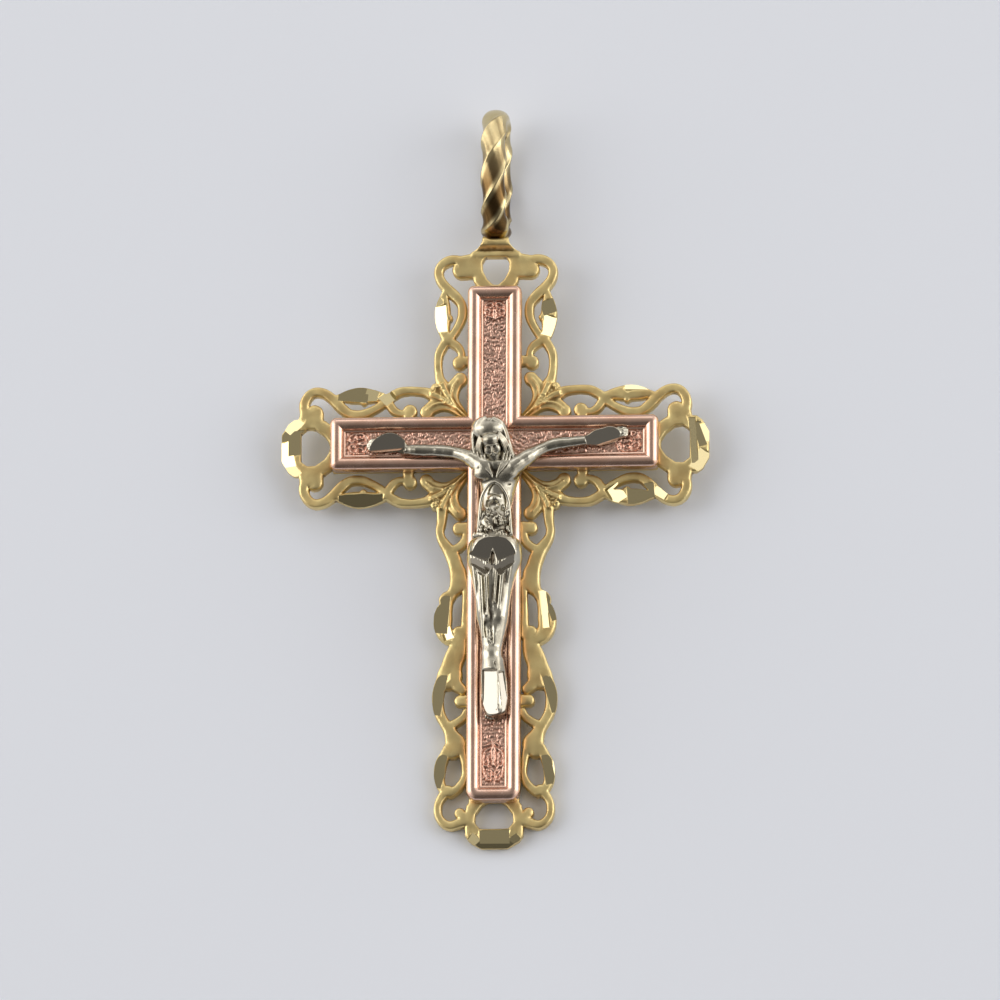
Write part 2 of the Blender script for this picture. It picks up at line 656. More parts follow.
def scroll_cross():
    plan = draw_lace()
    cell = plan.cell
    z = np.arange(-3 * cell, PLATE_T + 0.5, cell)
    grown = int(round((SADDLE_H * 1.4 + 0.6) / cell))
    edge = np.pad(plan.edge, ((0, 0), (0, grown)), constant_values=FAR)
    top = np.pad(plan.top, ((0, 0), (0, grown)), constant_values=PLATE_T)
    field = soft_max(edge[:, :, None], z[None, None, :] - top[:, :, None], 0.15)
    field = soft_max(field, -z[None, None, :], 0.08)
    y = plan.y[0] + cell * np.arange(edge.shape[1])
    i = np.abs(plan.x) < SADDLE_W / 2 + 0.4
    j = y > ARM_REACH - RING_WALL - 0.3
    seat = saddle_field(plan.x[i][:, None, None], y[j][None, :, None], z[None, None, :])
    part = np.ix_(i, j)
    field[part] = soft_min(field[part], seat, 0.2)
    low = (plan.x[0], plan.y[0], z[0])
    mesh = cast("filigree", field, low, cell, 0.06)
    return thin_out(add_object("filigree_cast", mesh), LACE_TRIANGLES)


# Flats on the scrollwork: place x, y, z, heading, lean, length along the heading, width across it.
LACE_FLATS = [
    # left end cap
    (-15.45, 1.60, 0.88, 140, 22, 3.0, 1.4), (-15.55, 0.35, 0.86, -85, 5, 1.9, 1.9),
    (-16.05, -0.60, 0.74, 190, 26, 1.2, 2.2), (-15.60, -1.60, 0.84, 215, 30, 3.0, 1.5),
    # right end cap
    (15.30, 0.25, 0.90, 4, 12, 0.55, 3.6), (15.80, 0.75, 0.84, -75, 6, 1.9, 0.62),
    (16.20, 0.85, 0.74, 10, 30, 0.8, 1.5), (15.70, -1.25, 0.84, -28, 26, 2.2, 1.7),
    # foot cap
    (-1.45, -31.10, 0.84, -130, 24, 2.0, 1.1), (0.05, -30.85, 0.86, -88, 7, 1.2, 2.3),
    (0.10, -31.42, 0.72, -90, 36, 0.8, 3.2), (1.60, -31.10, 0.84, -50, 22, 2.0, 0.9),
    # left arm, above and below
    (-10.95, 4.25, 0.86, -95, 7, 1.3, 2.3), (-9.55, 4.05, 0.87, 75, 9, 1.2, 1.0),
    (-8.40, 3.80, 0.86, 40, 17, 1.2, 0.95), (-10.35, -4.20, 0.85, -90, 20, 1.5, 3.4),
    # right arm, above and below
    (10.95, 4.70, 0.82, 88, 22, 0.9, 1.9), (9.50, -3.80, 0.88, -150, 18, 1.5, 1.4),
    (11.25, -3.95, 0.86, -86, 8, 1.6, 2.1), (12.75, -3.70, 0.88, -30, 18, 1.3, 1.0),
    # top arm, left and right
    (-4.60, 11.55, 0.84, 120, 10, 1.0, 0.8), (-4.30, 10.05, 0.85, 185, 17, 1.5, 2.1),
    (4.25, 11.00, 0.86, -70, 7, 1.1, 1.5), (4.05, 9.45, 0.86, -14, 18, 1.4, 1.6),
    # foot arm, petals down the left side
    (-4.10, -13.00, 0.86, -95, 8, 3.5, 1.2), (-3.50, -14.75, 0.90, 200, 20, 1.0, 1.0),
    (-4.35, -19.60, 0.86, -100, 6, 3.2, 1.0), (-4.20, -25.45, 0.86, -105, 8, 2.9, 1.0),
    # foot arm, petals down the right side
    (3.85, -12.95, 0.88, 6, 16, 0.55, 3.0), (4.45, -12.70, 0.82, -70, 9, 2.2, 0.85),
    (4.45, -19.50, 0.84, -75, 8, 3.1, 0.9), (4.15, -25.40, 0.86, -80, 9, 2.6, 0.75),
    (4.75, -25.60, 0.74, 0, 26, 0.6, 1.6)]


# inner cross

def cross_loop(inset, z):
    """The inner cross's outline, drawn in by an inset, with its outer corners rounded."""
    w, side = INNER_W / 2 - inset, INNER_SIDE - inset
    up, down = INNER_UP - inset, INNER_DOWN - inset
    soft, end, hard = CORNER_R, CORNER_R * 1.7, 0.03
    corners = [
        (w, up, soft), (-w, up, soft), (-w, w, 0), (-side, w, soft), (-side, -w, soft), (-w, -w, 0),
        (-w, -down, end), (w, -down, end), (w, -w, 0), (side, -w, soft), (side, w, soft), (w, w, 0)]
    points = []
    n = len(corners)
    for i, (x, y, r) in enumerate(corners):
        r = max(r - inset * 0.8, hard) if r else hard
        before, after = corners[i - 1], corners[(i + 1) % n]
        a = np.array([before[0] - x, before[1] - y])
        b = np.array([after[0] - x, after[1] - y])
        a, b = a / np.linalg.norm(a), b / np.linalg.norm(b)
        centre = np.array([x, y]) + r * (a + b)
        for k in range(7):
            t = math.pi / 2 * k / 6
            p = centre - r * b * math.cos(t) - r * a * math.sin(t)
            points.append((p[0], p[1], z))
    return points


def rim_profile():
    """Inset and height from the foot of the outer wall, over the half-round rim, to the edge of the floor."""
    r = RIM_W / 2
    rows = [(0.06, INNER_Z), (0.01, INNER_Z + 0.05), (0.0, INNER_Z + 0.2), (0.0, RIM_TOP - r - 0.12)]
    for k in range(17):
        a = math.pi * k / 16
        rows.append((r - r * math.cos(a), RIM_TOP - r + r * 0.98 * math.sin(a) ** 0.85))
    step = FLOOR_Z + ORN_H * 0.8
    rows += [(RIM_W + 0.005, max(RIM_TOP - r - 0.03, step + 0.01)),
             (RIM_W + 0.03, step), (RIM_W + STEP_W - 0.02, step), (RIM_W + STEP_W, step - 0.02),
             (RIM_W + STEP_W + 0.01, FLOOR_Z - 0.09)]
    return rows


def rim_body():
    loops = [cross_loop(inset, z) for inset, z in rim_profile()]
    n = len(loops[0])
    points = np.array([p for loop in loops for p in loop])
    quads = [(j * n + i, j * n + (i + 1) % n, (j + 1) * n + (i + 1) % n, (j + 1) * n + i)
             for j in range(len(loops) - 1) for i in range(n)]
    mesh = bpy.data.meshes.new("rim")
    ends = [tuple(range(n))[::-1], tuple((len(loops) - 1) * n + i for i in range(n))]
    mesh.from_pydata(points.tolist(), [], quads + ends)
    for p in mesh.polygons:
        p.use_smooth = p.loop_total == 4
    return add_object("inner_cross_rim", mesh)


# Chased scrolls at the arm ends: share along the panel, share across it, line width in mm.
END_SCROLLS = [
    [(0.12, 0.20, 0.16), (0.22, 0.72, 0.20), (0.42, 0.86, 0.22), (0.56, 0.62, 0.20), (0.46, 0.36, 0.18),
     (0.32, 0.46, 0.14)],
    [(0.52, 0.86, 0.16), (0.68, 0.80, 0.20), (0.84, 0.52, 0.20), (0.86, 0.22, 0.18), (0.72, 0.12, 0.16),
     (0.64, 0.30, 0.13)],
    [(0.04, 0.02, 0.14), (0.30, 0.10, 0.20), (0.52, 0.04, 0.20)]]


def floor_lines():
    h = INNER_W / 2 - RIM_W - STEP_W + 0.03
    ends = RIM_W + STEP_W - 0.03

    def stretch(a, b):
        return np.linspace(a, b, max(2, int(round(abs(b - a) / FLOOR_CELL)) + 1))

    def marks(low, high):
        return np.concatenate([stretch(low, -h), stretch(-h, h)[1:], stretch(h, high)[1:]])

    return marks(-(INNER_SIDE - ends), INNER_SIDE - ends), marks(-(INNER_DOWN - ends), INNER_UP - ends), h


def chasing(x, y, h):
    """Height of the coarse scrolls that are chased into the arm ends, in mm."""
    plan = Plan((x.min() - 0.3, y.min() - 0.3), (x.max() + 0.3, y.max() + 0.3), CHASE_CELL, 0.0)
    ends = RIM_W + STEP_W
    for degrees, reach, long in ((0, INNER_SIDE, 2.1), (180, INNER_SIDE, 1.9), (90, INNER_UP, 1.5),
                                 (-90, INNER_DOWN, 3.4)):
        for side in (-1, 1):
            for rows in END_SCROLLS:
                rows = smooth_rows([(reach - ends - long * (1 - a), b * h, w) for a, b, w in rows], 4)
                plan.vein(turned(rows, degrees, side), ORN_H)
        mark = reach - ends - long
        plan.vein(turned([(mark + 0.28, -0.75 * h, 0.12), (mark, 0, 0.14), (mark + 0.28, 0.75 * h, 0.12)],
                         degrees), 0.12)
    i = np.clip(np.round((x - plan.x[0]) / plan.cell).astype(int), 0, len(plan.x) - 1)
    j = np.clip(np.round((y - plan.y[0]) / plan.cell).astype(int), 0, len(plan.y) - 1)
    return np.minimum(plan.top[i, j], ORN_H * 1.2)


def floor_slab():
    """The recessed floor as a closed slab; how far each point may be stippled is kept on it."""
    xs, ys, h = floor_lines()
    mx, my = (xs[:-1] + xs[1:]) / 2, (ys[:-1] + ys[1:]) / 2
    keep = (np.abs(mx)[:, None] < h) | (np.abs(my)[None, :] < h)
    number = -np.ones((len(xs), len(ys)), int)
    i, j = np.nonzero(keep)
    for di in (0, 1):
        for dj in (0, 1):
            number[i + di, j + dj] = 0
    used = number == 0
    number[used] = np.arange(used.sum())
    gx, gy = np.meshgrid(xs, ys, indexing="ij")
    x, y = gx[used], gy[used]
    quads = np.stack([number[i, j], number[i + 1, j], number[i + 1, j + 1], number[i, j + 1]], axis=1)
    points = np.stack([x, y, np.full_like(x, FLOOR_Z)], axis=1)
    mesh = build_mesh("floor", points, [quads])
    edge = np.minimum(np.maximum(h - np.abs(x), h - np.abs(y)),
                      np.minimum(INNER_SIDE - np.abs(x),
                                 np.minimum(INNER_UP - y, INNER_DOWN + y)) - RIM_W - STEP_W)
    keep_values(mesh, "loose", np.clip(edge / 0.12, 0, 1))
    keep_values(mesh, "chased", chasing(x, y, h) * np.clip(edge / 0.1, 0, 1))
    return add_object("inner_cross_floor", mesh)


# node trees

def feed(tree, slot, value):
    """Wires a value into a socket, or writes a plain number there."""
    if isinstance(value, Wired):
        tree.links.new(value.socket, slot)
    else:
        slot.default_value = value


class Wired:
    """A number in a node tree, with everyday arithmetic."""

    def __init__(self, tree, socket):
        self.tree, self.socket = tree, socket

    def op(self, kind, *others):
        node = self.tree.nodes.new("ShaderNodeMath")
        node.operation = kind
        for slot, value in zip(node.inputs, (self,) + others):
            feed(self.tree, slot, value)
        return Wired(self.tree, node.outputs[0])

    def __add__(self, other):
        return self.op("ADD", other)

    def __sub__(self, other):
        return self.op("SUBTRACT", other)

    def __mul__(self, other):
        return self.op("MULTIPLY", other)

    def __truediv__(self, other):
        return self.op("DIVIDE", other)

    __radd__ = __add__
    __rmul__ = __mul__

    def __rsub__(self, other):
        return (self * -1) + other

    def ramp(self, low, high):
        """Eases from 0 at low to 1 at high."""
        t = ((self - low) / (high - low)).op("MAXIMUM", 0.0).op("MINIMUM", 1.0)
        return t * t * (3 - t * 2)

    def shaped(self, power):
        """Sign kept, size raised to a power."""
        return self.op("SIGN") * self.op("ABSOLUTE").op("POWER", power)


def new_tree(name, inputs):
    """A geometry tree with named number inputs; gives the tree, its input node and a reader of the inputs."""
    tree = bpy.data.node_groups.new(name, "GeometryNodeTree")
    tree.interface.new_socket("Geometry", in_out="INPUT", socket_type="NodeSocketGeometry")
    tree.interface.new_socket("Geometry", in_out="OUTPUT", socket_type="NodeSocketGeometry")
    for label, value in inputs.items():
        kind = "NodeSocketInt" if isinstance(value, int) else "NodeSocketFloat"
        tree.interface.new_socket(label, in_out="INPUT", socket_type=kind).default_value = value
    start = tree.nodes.new("NodeGroupInput")
    return tree, start, lambda label: Wired(tree, start.outputs[label])


def xyz(tree, x, y, z):
    node = tree.nodes.new("ShaderNodeCombineXYZ")
    for slot, value in zip(node.inputs, (x, y, z)):
        feed(tree, slot, value)
    return node.outputs[0]


def close_tree(tree, geometry, material):
    real = tree.nodes.new("GeometryNodeRealizeInstances")
    paint = tree.nodes.new("GeometryNodeSetMaterial")
    paint.inputs["Material"].default_value = material
    end = tree.nodes.new("NodeGroupOutput")
    tree.links.new(geometry, real.inputs[0])
    tree.links.new(real.outputs[0], paint.inputs["Geometry"])
    tree.links.new(paint.outputs[0], end.inputs[0])


def apply_tree(obj, tree, values):
    """Runs a geometry tree on an object with these values in its named inputs."""
    step = obj.modifiers.new(tree.name, "NODES")
    step.node_group = tree
    for item in tree.interface.items_tree:
        if item.item_type == "SOCKET" and item.in_out == "INPUT" and item.name in values:
            step[item.identifier] = values[item.name]
    return baked(obj)


STRAND = {
    "Rings": 420, "Sides": 120, "Loop height": BAIL_H, "Loop depth": BAIL_D, "Strand width": STRAND_W,
    "Strand thickness": STRAND_T, "Flute depth": 0.21, "Ridges": 3, "Ridge steps": 10, "Start": 52.0}


def strand_tree(material):
    """Twisted strand swept round the bail's loop. Angle a runs round the loop from its foot, over the front
    and the top, and f runs round the strand."""
    tree, start, read = new_tree("twisted strand", STRAND)
    grid = tree.nodes.new("GeometryNodeMeshGrid")
    for slot, label in (("Vertices X", "Rings"), ("Vertices Y", "Sides")):
        tree.links.new(start.outputs[label], grid.inputs[slot])
    place = tree.nodes.new("ShaderNodeSeparateXYZ")
    tree.links.new(tree.nodes.new("GeometryNodeInputPosition").outputs[0], place.inputs[0])
    a = (Wired(tree, place.outputs[0]) + 0.5) * (2 * math.pi)
    f = (Wired(tree, place.outputs[1]) + 0.5) * (2 * math.pi)
    half_h = (read("Loop height") - read("Strand thickness")) * 0.5
    half_d = (read("Loop depth") - read("Strand thickness")) * 0.5

    def loop_at(angle):
        return half_h * angle.op("COSINE").shaped(0.92) * -1, half_d * angle.op("SINE").shaped(0.88)

    y, z = loop_at(a)
    y0, z0 = loop_at(a - 0.02)
    y1, z1 = loop_at(a + 0.02)
    ty, tz = y1 - y0, z1 - z0
    long = (ty * ty + tz * tz).op("SQRT")
    ny, nz = tz * -1 / long, ty / long
    from_top = (a - math.pi) / math.radians(40)
    calm = 1 - (from_top * from_top * -1).op("EXPONENT") * 0.9
    phase = (read("Ridge steps") * a + read("Ridges") * f) * 0.5 + read("Start") * (math.pi / 180)
    hollow = (phase.op("SINE").op("ABSOLUTE").op("POWER", 0.62) - 0.10).op("MAXIMUM", 0.0)
    # the strand's foot swells where it is soldered on its seat
    foot = ((a.op("COSINE") - 1) * 12).op("EXPONENT")
    worn = 1 - read("Flute depth") * calm * hollow * (1 - foot)
    x = read("Strand width") * 0.5 * worn * (1 + 0.14 * foot) * f.op("COSINE")
    out = read("Strand thickness") * 0.5 * worn * f.op("SINE")
    dark = tree.nodes.new("GeometryNodeStoreNamedAttribute")
    dark.data_type = "FLOAT"
    dark.inputs["Name"].default_value = "hollow"
    low_half = a.op("COSINE").ramp(-0.60, 0.30)
    tree.links.new((hollow.ramp(0.30, 0.74) * (0.12 + 0.88 * low_half) * calm).socket, dark.inputs["Value"])
    tree.links.new(grid.outputs["Mesh"], dark.inputs["Geometry"])
    move = tree.nodes.new("GeometryNodeSetPosition")
    tree.links.new(dark.outputs["Geometry"], move.inputs["Geometry"])
    tree.links.new(xyz(tree, x, y + ny * out, z + nz * out), move.inputs["Position"])
    weld = tree.nodes.new("GeometryNodeMergeByDistance")
    weld.inputs["Distance"].default_value = 0.0005
    tree.links.new(move.outputs[0], weld.inputs["Geometry"])
    shade = tree.nodes.new("GeometryNodeSetShadeSmooth")
    tree.links.new(weld.outputs[0], shade.inputs["Geometry"])
    close_tree(tree, shade.outputs[0], material)
    return tree


STIPPLE = {
    "Grain": 0.2, "Fine grain": 0.11, "Grain height": 0.085, "Fine height": 0.045, "Seed": 7}


def stipple_tree(material):
    """Cast and punched grain on the recessed floor, with the chased scrolls raised over it."""
    tree, start, read = new_tree("stippled floor", STIPPLE)
    place = tree.nodes.new("GeometryNodeInputPosition")

    def per_mm(label):
        scale = tree.nodes.new("ShaderNodeVectorMath")
        scale.operation = "SCALE"
        tree.links.new(place.outputs[0], scale.inputs[0])
        tree.links.new(read(label).op("POWER", -1.0).socket, scale.inputs["Scale"])
        return scale.outputs[0]

    beads = tree.nodes.new("ShaderNodeTexVoronoi")
    beads.inputs["Scale"].default_value = 1.0
    tree.links.new(per_mm("Grain"), beads.inputs["Vector"])
    sand = tree.nodes.new("ShaderNodeTexNoise")
    sand.noise_dimensions = "4D"
    sand.inputs["Scale"].default_value = 1.0
    sand.inputs["Detail"].default_value = 2.0
    tree.links.new(per_mm("Fine grain"), sand.inputs["Vector"])
    tree.links.new(read("Seed").socket, sand.inputs["W"])
    swell = tree.nodes.new("ShaderNodeTexNoise")
    swell.inputs["Scale"].default_value = 0.8
    tree.links.new(place.outputs[0], swell.inputs["Vector"])

    def kept(label):
        node = tree.nodes.new("GeometryNodeInputNamedAttribute")
        node.data_type = "FLOAT"
        node.inputs["Name"].default_value = label
        return Wired(tree, node.outputs["Attribute"])

    bead = (0.55 - Wired(tree, beads.outputs["Distance"])) * read("Grain height") * 1.4
    grit = (Wired(tree, sand.outputs[0]) - 0.5) * read("Fine height") * 2
    roll = (Wired(tree, swell.outputs[0]) - 0.5) * 0.10
    rise = (bead + grit + roll) * kept("loose") + kept("chased")
    move = tree.nodes.new("GeometryNodeSetPosition")
    tree.links.new(start.outputs["Geometry"], move.inputs["Geometry"])
    tree.links.new(xyz(tree, 0.0, 0.0, rise), move.inputs["Offset"])
    close_tree(tree, move.outputs[0], material)
    return tree


def close_slab(obj, depth):
    """Gives an open sheet of floor its walls and its flat underside."""
    bm = bmesh.new()
    bm.from_mesh(obj.data)
    rim = [e for e in bm.edges if e.is_boundary]
    grown = bmesh.ops.extrude_edge_only(bm, edges=rim)["geom"]
    for v in grown:
        if isinstance(v, bmesh.types.BMVert):
            v.co.z = FLOOR_Z - depth
    low = [e for e in grown if isinstance(e, bmesh.types.BMEdge) and e.is_boundary]
    bmesh.ops.holes_fill(bm, edges=low, sides=0)
    bmesh.ops.recalc_face_normals(bm, faces=bm.faces[:])
    bm.to_mesh(obj.data)
    bm.free()
    for p in obj.data.polygons:
        p.use_smooth = p.loop_total == 4
    return obj


def bail_loop(material):
    mesh = bpy.data.meshes.new("bail_loop")
    obj = apply_tree(add_object("bail_strand", mesh), strand_tree(material), STRAND)
    co = points_of(obj.data).astype(float)
    c, s = math.cos(BAIL_TURN), math.sin(BAIL_TURN)
    x, z = co[:, 0].copy(), co[:, 2].copy()
    co[:, 0], co[:, 2] = x * c - z * s, x * s + z * c
    co[:, 1] += BAIL_Y
    co[:, 2] += MID_Z
    set_points(obj.data, co)
    loops = np.empty(len(obj.data.polygons) * 4, np.int32)
    if all(p.loop_total == 4 for p in obj.data.polygons):
        obj.data.polygons.foreach_get("vertices", loops)
        if signed_volume(co, [loops.reshape(-1, 4)]) < 0:
            obj.data.flip_normals()
    obj.data.update()
    return obj


# figure

FIGURE_H = 24.1
FIGURE_SPAN = 19.6
FIGURE_T = 1.75
FIGURE_UP = 2.1
FIGURE_SIDE = 0.25
FIGURE_Z = FLOOR_Z + ORN_H + GAP

# Trunk and legs: share down the height, left and right edge as shares of the span, relief over the rim.
TRUNK = [
    (0.130, -0.040, 0.055, 0.40), (0.150, -0.080, 0.085, 0.56), (0.178, -0.086, 0.096, 0.60),
    (0.210, -0.078, 0.092, 0.62), (0.245, -0.068, 0.078, 0.58), (0.290, -0.066, 0.066, 0.52),
    (0.335, -0.070, 0.056, 0.58), (0.385, -0.076, 0.062, 0.64), (0.405, -0.094, 0.080, 0.76),
    (0.425, -0.112, 0.096, 0.90), (0.475, -0.117, 0.099, 0.94), (0.515, -0.106, 0.084, 0.78),
    (0.570, -0.092, 0.066, 0.68), (0.625, -0.078, 0.056, 0.64), (0.680, -0.074, 0.052, 0.58),
    (0.730, -0.066, 0.038, 0.54), (0.775, -0.058, 0.026, 0.44), (0.815, -0.058, 0.034, 0.56),
    (0.870, -0.056, 0.044, 0.66), (0.930, -0.050, 0.046, 0.64), (0.975, -0.042, 0.042, 0.54),
    (0.993, -0.034, 0.034, 0.42)]

# Arms and hands: share across the span, share down the height, relief, radius as a share of the relief.
LEFT_ARM = [
    (-0.046, 0.176, 0.36, 0.44), (-0.100, 0.146, 0.28, 0.35), (-0.165, 0.125, 0.14, 0.275),
    (-0.235, 0.117, 0.06, 0.27), (-0.300, 0.115, 0.04, 0.265), (-0.360, 0.112, 0.0, 0.21)]
RIGHT_ARM = [
    (0.064, 0.178, 0.36, 0.44), (0.118, 0.147, 0.29, 0.35), (0.168, 0.120, 0.16, 0.28),
    (0.225, 0.101, 0.09, 0.27), (0.290, 0.094, 0.04, 0.26), (0.350, 0.088, 0.0, 0.20)]
LEFT_PALM = [(-0.360, 0.112, -0.02, 0.20), (-0.392, 0.092, -0.04, 0.38), (-0.430, 0.087, -0.04, 0.43),
             (-0.470, 0.096, -0.08, 0.33)]
RIGHT_PALM = [(0.350, 0.088, -0.02, 0.19), (0.395, 0.078, -0.04, 0.38), (0.440, 0.070, -0.06, 0.39),
              (0.474, 0.062, -0.12, 0.25)]

# Long locks at each side: place and radius in mm from the middle of the figure.
LEFT_LOCK = [
    (-0.45, 1.30, 4.30, 0.16), (-1.10, 1.00, 4.05, 0.20), (-1.50, 0.30, 3.72, 0.19),
    (-1.48, -0.65, 3.55, 0.18), (-1.32, -1.50, 3.52, 0.16), (-1.20, -2.35, 3.70, 0.11)]
RIGHT_LOCK = [
    (0.00, 1.25, 4.30, 0.16), (0.60, 0.95, 4.10, 0.20), (0.92, 0.30, 3.85, 0.18), (1.20, -0.55, 3.62, 0.16),
    (1.50, -1.35, 3.55, 0.14), (1.86, -2.15, 3.46, 0.09)]


def fig_at(x, y, z):
    return FIGURE_SIDE + FIGURE_SPAN * x, FIGURE_UP - FIGURE_H * y, RIM_TOP + FIGURE_T * z


def fig_rod(rows):
    rod = smooth_rows([fig_at(x, y, z) + (FIGURE_T * r,) for x, y, z, r in rows], 4)
    rod[:, 3] *= 1 + 0.045 * np.sin(2.9 * rod[:, 0]) + 0.03 * np.sin(7.1 * rod[:, 0] + 1)
    return rod


def add_trunk(clay):
    rows = smooth_rows(TRUNK, 3)
    part, x, y, z = clay.near((-3, FIGURE_UP - FIGURE_H, FIGURE_Z - 0.2), (3, FIGURE_UP - 0.12 * FIGURE_H, 5))
    share = ((FIGURE_UP - y) / FIGURE_H).ravel()
    left, right, relief = (np.interp(share, rows[:, 0], rows[:, k]).astype(np.float32) for k in (1, 2, 3))
    end = np.clip(np.minimum((share - rows[0, 0]) / 0.02, (1.0 - share) / 0.03), 0.02, 1) ** 0.5
    middle = (FIGURE_SIDE + FIGURE_SPAN * (left + right) / 2)[None, :, None]
    half = (FIGURE_SPAN * (right - left) / 2 * end)[None, :, None]
    high = ((RIM_TOP - FIGURE_Z + FIGURE_T * relief) * end)[None, :, None]
    q = np.sqrt(((x - middle) / half) ** 2 + np.abs((z - FIGURE_Z) / high) ** 2.4)
    clay.put(part, (q - 1) * np.minimum(half, high) * 0.9, 0)


def add_breast(clay):
    for side, x in ((-1, -0.68), (1, 1.08)):
        clay.ball((x, -2.70, 3.30), (0.84, 0.56, 0.50), 0.28)
        clay.ball((x - side * 0.06, -3.34, 3.98), (0.66, 0.17, 0.24), 0.08, press=True)
        clay.rod([(x + side * 0.50, -2.20, 3.35, 0.30), (x + side * 0.75, -1.95, 3.15, 0.42)], 0.25)
        # edge of the rib arch, down to the waist cloth
        edge = [(0.14 + side * across, y, z, r) for across, y, z, r in (
            (0.02, -3.50, 3.74, 0.12), (0.46, -3.78, 3.72, 0.13), (0.86, -4.35, 3.54, 0.14),
            (1.06, -5.00, 3.38, 0.14), (1.16, -6.00, 3.28, 0.14), (1.28, -7.50, 3.24, 0.13))]
        clay.rod(smooth_rows(edge, 3), 0.07)
        for k in range(3):
            y = -3.75 - 0.42 * k
            clay.rod([(0.16 + side * (0.72 + 0.1 * k), y, 3.62 - 0.1 * k, 0.05),
                      (0.16 + side * (1.15 + 0.03 * k), y + 0.16, 3.2, 0.05)], 0.05, press=True)
        # collar bone and the breast's middle line
        clay.rod([(0.2 + side * 0.12, -1.98, 3.66, 0.07), (0.2 + side * 0.60, -1.86, 3.68, 0.08),
                  (0.2 + side * 1.10, -1.95, 3.52, 0.08)], 0.05)
    clay.ball((0.13, -4.16, 3.98), (0.46, 0.46, 0.44), 0.10, press=True)
    clay.ball((0.14, -4.72, 3.04), (0.60, 0.42, 0.60), 0.12)
    clay.ball((0.13, -5.08, 3.84), (0.50, 0.12, 0.16), 0.06, press=True)
    clay.ball((0.13, -4.70, 3.70), (0.06, 0.09, 0.10), 0.04, press=True)
    clay.rod([(0.19, -2.30, 3.72, 0.06), (0.17, -3.20, 3.72, 0.08)], 0.06, press=True)
    clay.rod([(0.18, -1.55, 3.15, 0.50), (0.20, -2.05, 3.25, 0.55)], 0.25)


def add_cloth(clay):
    """Crumpled waist roll, its ragged hem, and long folds that run together towards the knees."""
    rng = np.random.default_rng(21)
    clay.ball((0.10, -6.35, 2.85), (1.22, 1.35, 0.86), 0.12)
    for _ in range(CLOTH_CREASES):
        x = rng.uniform(-0.98, 1.14)
        y = rng.uniform(-7.65, -5.30)
        turn = rng.uniform(-1.0, 1.0) + math.pi / 2
        long = rng.uniform(0.12, 0.36)
        top = 3.74 - 0.42 * ((x - 0.08) / 1.2) ** 2
        dx, dy = math.cos(turn) * long, math.sin(turn) * long
        clay.rod([(x - dx, y - dy, top - 0.12, 0.07), (x, y, top + 0.02, 0.115),
                  (x + dx, y + dy, top - 0.14, 0.07)], 0.035)
    hem = smooth_rows([(-1.52, -7.60, 3.00, 0.14), (-1.06, -7.52, 3.44, 0.16), (-0.55, -7.78, 3.66, 0.17),
                       (0.10, -8.02, 3.76, 0.17), (0.75, -8.00, 3.66, 0.16), (1.30, -7.95, 3.46, 0.15),
                       (1.72, -8.02, 3.05, 0.13)], 6)
    hem[:, 1] += rng.uniform(-0.07, 0.07, len(hem))
    hem[:, 2] += rng.uniform(-0.05, 0.06, len(hem))
    clay.rod(hem, 0.08)
    for k in range(len(hem)):
        clay.ball(hem[k, :3] + [0, rng.uniform(-0.05, 0.12), 0.10],
                  np.array([1.0, 1.3, 0.9]) * rng.uniform(0.06, 0.11), 0.05)


# Folds over the legs: top x, top z, x and y where they end, radius.
FOLDS = [
    (-1.62, 3.30, -0.98, -14.4, 0.15), (-1.05, 3.86, -0.72, -15.6, 0.17), (-0.62, 3.98, -0.38, -13.9, 0.14),
    (0.52, 3.98, 0.16, -12.9, 0.13), (0.98, 3.84, 0.50, -13.4, 0.18), (1.55, 3.34, 0.62, -15.8, 0.15)]


def add_legs(clay):
    for side, foot in ((-1, -0.42), (1, 0.24)):
        clay.rod([(side * 0.95, -9.4, 2.85, 0.86), (side * 0.72, -12.4, 2.90, 0.64),
                  (side * 0.62 - 0.05, -14.0, 2.92, 0.60), (side * 0.36, -15.3, 2.70, 0.48),
                  (foot, -16.5, 2.55, 0.40)], 0.20)
    clay.rod([(-0.02, -9.3, 4.06, 0.22), (-0.06, -12.6, 3.86, 0.22), (-0.08, -14.6, 3.66, 0.20),
              (-0.10, -16.0, 3.30, 0.14)], 0.12, press=True)
    rng = np.random.default_rng(8)
    for x, z, x1, y1, r in FOLDS:
        rows = []
        for k in range(9):
            t = k / 8
            y = -9.1 + (y1 + 9.1) * t
            rows.append((x + (x1 - x) * t ** 0.8, y,
                         z + 0.20 - 0.62 * t ** 1.6 + 0.06 * math.sin(7 * t + x), r * (1.25 - 0.6 * t)))
        clay.rod(smooth_rows(rows, 3), 0.07)
    for k in range(LEG_CREASES):
        y = rng.uniform(-16.1, -9.9)
        x = -0.06 + rng.uniform(-0.24, 0.24)
        z = 3.66 - 0.07 * max(0, -9.9 - y) - 0.02 * max(0, -14 - y)
        r = rng.uniform(0.05, 0.10)
        clay.ball((x, y, z), (r, r * rng.uniform(1, 2.4), r), 0.04, press=k % 3 == 0)
    clay.ball((-0.62, -13.95, 3.18), (0.46, 0.62, 0.42), 0.18)
    clay.ball((0.50, -13.85, 3.14), (0.42, 0.62, 0.42), 0.18)


